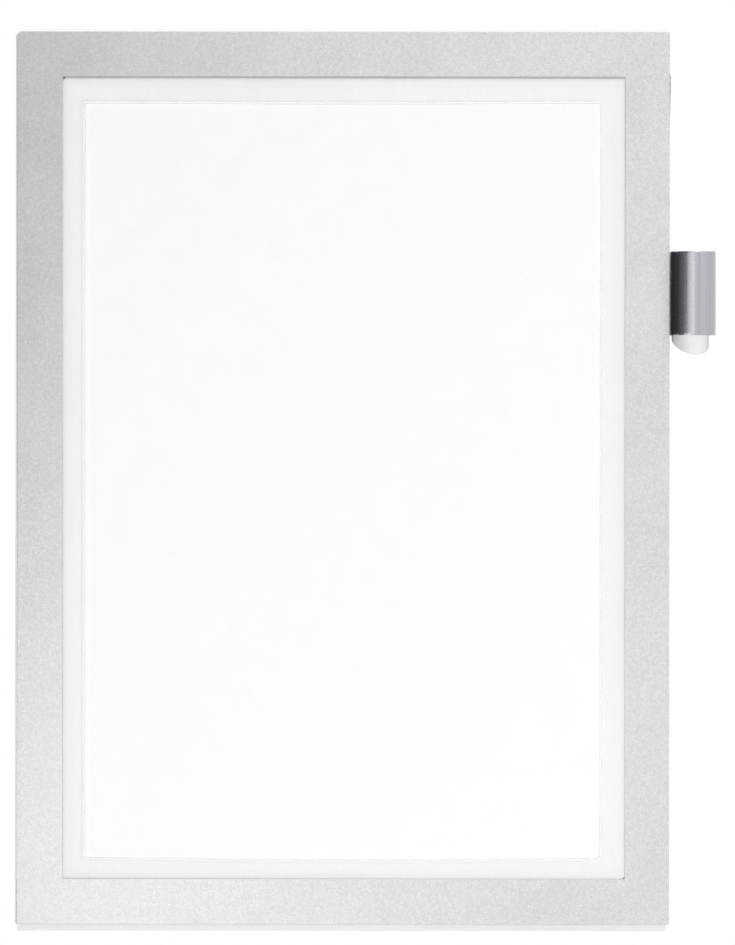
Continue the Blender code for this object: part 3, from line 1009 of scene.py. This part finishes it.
linerSet = {
    "wall": 0.0008, "slit": 0.0030, "rows": 34, "sweepSteps": 120, "evenShare": 0.75,
    "lipTurn": 19.0, "lipSlope": 0.587, "lipLevel": 0.0030, "edgeRound": 0.0003, "smooth": 60.0,
}


def linerMesh(name, s=linerSet):
    low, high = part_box("holder_liner")
    sleeveLow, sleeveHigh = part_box("holder_sleeve")
    radius = (high.x - low.x) / 2
    axis = Vector(((low.x + high.x) / 2, (sleeveLow.y + sleeveHigh.y) / 2, 0.0))
    halfSlit = math.asin(s["slit"] / (2 * (radius - s["wall"])))
    across = s["lipSlope"] * math.sin(math.radians(s["lipTurn"]))
    forward = s["lipSlope"] * math.cos(math.radians(s["lipTurn"]))
    outer = np.zeros((s["rows"], s["sweepSteps"] + 1, 3))
    inner = np.zeros_like(outer)
    for row in range(s["rows"]):
        # rows crowd towards both ends, where the wall is rounded off, and columns towards the slit
        share = crowded(crowded(row, s["rows"] - 1))
        for step in range(s["sweepSteps"] + 1):
            turn = (s["evenShare"] * step / s["sweepSteps"]
                    + (1.0 - s["evenShare"]) * crowded(step, s["sweepSteps"]))
            angle = halfSlit + (2 * math.pi - 2 * halfSlit) * turn
            aside = math.sin(angle)
            behind = math.cos(angle)
            bottom = (sleeveLow.z - s["lipLevel"] - across * radius * aside
                      + forward * radius * behind)
            z = bottom + (high.z - bottom) * share
            fromEdge = min(z - bottom, high.z - z, radius * (angle - halfSlit),
                           radius * (2 * math.pi - halfSlit - angle))
            rounding = min(1.0, fromEdge / s["edgeRound"])
            thin = s["edgeRound"] * (1.0 - math.sqrt(max(0.0, 1.0 - (1.0 - rounding) ** 2)))
            for sheet, r in ((outer, radius - thin), (inner, radius - s["wall"] + thin)):
                sheet[row, step] = (axis.x + r * aside, axis.y + r * behind, z)
    return shellMesh(name, outer, inner, False, s["smooth"])


holderLiner = linkMesh("holderLiner", linerMesh("holderLiner"))
fit(holderLiner, softPlastic, "back", "holder_liner")
print("holder liner made")


# Floor, light and camera

stageSet = {
    "floorDrop": 0.12, "floorRadius": 1.05, "floorPoints": 96, "floorColour": (0.90, 0.90, 0.90),
    # shares of the radius over which the floor fades out
    "floorFade": (0.35, 0.98),
    # a little glow that only the camera sees keeps the floor pale
    "floorGlow": 0.38, "worldLight": 0.20,
}


def buildFloor(s=stageSet):
    low, high = cadBox
    centre = (low + high) / 2
    bm = bmesh.new()
    bmesh.ops.create_circle(bm, cap_ends=True, segments=s["floorPoints"], radius=s["floorRadius"])
    bmesh.ops.translate(bm, verts=bm.verts, vec=(centre.x, centre.y, low.z - s["floorDrop"]))
    mesh = meshFrom(bm, "floor")
    floor = linkMesh("floor", mesh)
    made, tree = newFinish("floorFinish")
    spot = tree.node("ShaderNodeTexCoord", out="Object")
    away = tree.node("ShaderNodeVectorMath", {"operation": "LENGTH"}, {0: spot}, out="Value")
    start, end = [s["floorRadius"] * share for share in s["floorFade"]]
    fade = away.between(start, end)
    clear = tree.node("ShaderNodeBsdfTransparent")
    solid = tree.node("ShaderNodeBsdfDiffuse", None, {"Color": (*s["floorColour"], 1.0)})
    glow = tree.node("ShaderNodeEmission", None, {"Color": [s["floorGlow"]] * 3 + [1.0]})
    pale = tree.node("ShaderNodeAddShader", None, {0: solid, 1: glow})
    seen = tree.node("ShaderNodeLightPath", out="Is Camera Ray")
    ground = tree.node("ShaderNodeMixShader", None, {0: seen, 1: solid, 2: pale})
    both = tree.node("ShaderNodeMixShader", None, {0: fade, 1: ground, 2: clear})
    tree.node("ShaderNodeOutputMaterial", None, {"Surface": both})
    mesh.materials.append(made)


# Leaves a piece of the stage to reflections alone.
def onlyReflected(made):
    made.visible_camera = False
    made.visible_diffuse = False
    made.visible_transmission = False
    made.visible_shadow = False


cardSet = {
    # plan of the bent card, and how low each of its panels reaches
    "path": [(-0.15, -0.50), (-0.17, -0.27), (-0.38, -0.20), (-0.38, 3.00)],
    "bottoms": [0.18, -0.10, -0.10], "top": 1.50, "colour": (0.13, 0.13, 0.135), "roughness": 0.9,
}


# A dark bent card at the left that only reflections see. It gives the metal its dark side.
def buildCard(s=cardSet):
    points = []
    faces = []
    for (fromX, fromY), (toX, toY), bottom in zip(s["path"], s["path"][1:], s["bottoms"]):
        first = len(points)
        points += [(fromX, fromY, bottom), (toX, toY, bottom),
                   (toX, toY, s["top"]), (fromX, fromY, s["top"])]
        faces.append((first, first + 1, first + 2, first + 3))
    mesh = bpy.data.meshes.new("darkCard")
    mesh.from_pydata(points, [], faces)
    card = linkMesh("darkCard", mesh)
    made, tree = newFinish("cardFinish")
    paint(made, tree, {"Base Color": (*s["colour"], 1.0), "Roughness": s["roughness"]})
    mesh.materials.append(made)
    onlyReflected(card)


flagSet = {
    # its upper part, and its lower part beside the lip
    "gap": 0.00003, "front": 0.0014, "rear": 0.0003, "below": 0.009, "lowFront": 0.0064,
    "colour": (0.075, 0.075, 0.082),
}


# A small dark flag left of the holder, unseen by the camera. It darkens the holder's left side.
def buildFlag(s=flagSet):
    low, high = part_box("holder_sleeve")
    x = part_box("front_face")[1].x - s["gap"]
    nearY = low.y + s["front"]
    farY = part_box("front_face")[0].y - s["rear"]
    lowZ = low.z - s["below"]
    lowY = low.y + s["lowFront"]
    points = [(x, nearY, low.z), (x, farY, low.z), (x, farY, high.z), (x, nearY, high.z),
              (x, lowY, lowZ), (x, farY, lowZ), (x, lowY, low.z)]
    mesh = bpy.data.meshes.new("darkFlag")
    mesh.from_pydata(points, [], [(0, 1, 2, 3), (4, 5, 1, 6)])
    flag = linkMesh("darkFlag", mesh)
    made, tree = newFinish("flagFinish")
    behind = tree.node("ShaderNodeNewGeometry", out="Backfacing")
    solid = tree.node("ShaderNodeBsdfDiffuse", None, {"Color": (*s["colour"], 1.0)})
    clear = tree.node("ShaderNodeBsdfTransparent")
    both = tree.node("ShaderNodeMixShader", None, {0: behind, 1: solid, 2: clear})
    tree.node("ShaderNodeOutputMaterial", None, {"Surface": both})
    mesh.materials.append(made)
    onlyReflected(flag)
    flag.visible_diffuse = True  # soft light meets it too


def buildWorld(s=stageSet):
    world = bpy.data.worlds.new("studio")
    world.use_nodes = True
    world.node_tree.nodes.clear()
    scene.world = world
    tree = Tree(world.node_tree)
    seen = tree.node("ShaderNodeLightPath", out="Is Camera Ray")
    for name in ("Is Glossy Ray", "Is Transmission Ray"):
        seen = seen.most(tree.node("ShaderNodeLightPath", out=name))
    level = [s["worldLight"]] * 3
    colour = tree.mix(seen, level, (1.0, 1.0, 1.0))
    light = tree.node("ShaderNodeBackground", None, {"Color": colour})
    tree.node("ShaderNodeOutputWorld", None, {"Surface": light})


lampSet = {
    # use, place, aim, width, height, watts
    "fill": ("soft", (0.00, -3.0, 0.05), (0.0, 0.0, 0.16), 0.6, 0.6, 48.3),
    "wash": ("wash", (2.3, -1.9, 0.0), (0.0, 0.0, 0.16), 1.0, 1.0, 36.9),
    "rear": ("soft", (-0.5, 3.0, 0.60), (0.0, 0.0, 0.16), 1.5, 1.5, 77.0),
    "front": ("gloss", (0.0, -2.2, 0.5), (0.0, 0.0, 0.16), 1.6, 1.6, 0.50),
    "key": ("gloss", (0.03, -1.4, 0.25), (0.03, 0.0, 0.20), 0.40, 1.00, 0.40),
    "glint": ("gloss", (0.06, -1.0, 0.45), (0.06, 0.0, 0.20), 0.20, 0.50, 0.12),
    "lowLeft": ("gloss", (-0.24, -0.70, -0.03), (-0.10, 0.0, 0.05), 0.40, 0.14, 0.70),
    "lowRight": ("gloss", (0.28, -0.70, -0.03), (0.10, 0.0, 0.05), 0.40, 0.14, 0.16),
    "rightHigh": ("gloss", (0.50, -1.0, 0.95), (0.10, 0.0, 0.20), 0.60, 0.40, 3.20),
    "side": ("gloss", (1.10, -0.9, 0.30), (0.10, 0.0, 0.20), 0.50, 0.90, 0.20),
}


# Soft lamps light with shadows, wash lamps without, and gloss lamps only shine.
def buildLamps():
    for name, (use, place, aim, width, height, watts) in lampSet.items():
        data = bpy.data.lights.new(name, "AREA")
        data.shape = "RECTANGLE"
        data.size = width
        data.size_y = height
        data.energy = watts
        data.use_shadow = use == "soft"
        lamp = bpy.data.objects.new(name, data)
        lamp.location = place
        lamp.rotation_mode = "QUATERNION"
        lamp.rotation_quaternion = (Vector(aim) - Vector(place)).to_track_quat("-Z", "Y")
        lamp.visible_camera = False
        lamp.visible_glossy = use == "gloss"
        lamp.visible_diffuse = use != "gloss"
        scene.collection.objects.link(lamp)


cameraSet = {
    "distance": 5.0, "viewHeight": 0.3410, "middle": (0.00905, 0.1594), "sensor": 36.0,
    "roll": 0.063, "clipEnd": 50.0,
}


def buildCamera(s=cameraSet):
    data = bpy.data.cameras.new("camera")
    data.type = "PERSP"
    data.sensor_width = s["sensor"]
    data.lens = s["sensor"] * s["distance"] / s["viewHeight"]
    data.clip_end = s["clipEnd"]
    camera = bpy.data.objects.new("camera", data)
    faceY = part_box("front_face")[0].y
    camera.location = (s["middle"][0], faceY - s["distance"], s["middle"][1])
    camera.rotation_mode = "QUATERNION"
    straight = Vector((0.0, 1.0, 0.0)).to_track_quat("-Z", "Z")
    camera.rotation_quaternion = straight @ Quaternion((0.0, 0.0, 1.0), math.radians(s["roll"]))
    scene.collection.objects.link(camera)
    scene.camera = camera


buildFloor()
buildCard()
buildFlag()
buildWorld()
buildLamps()
buildCamera()
scene.view_settings.view_transform = "Standard"
print("stage made")
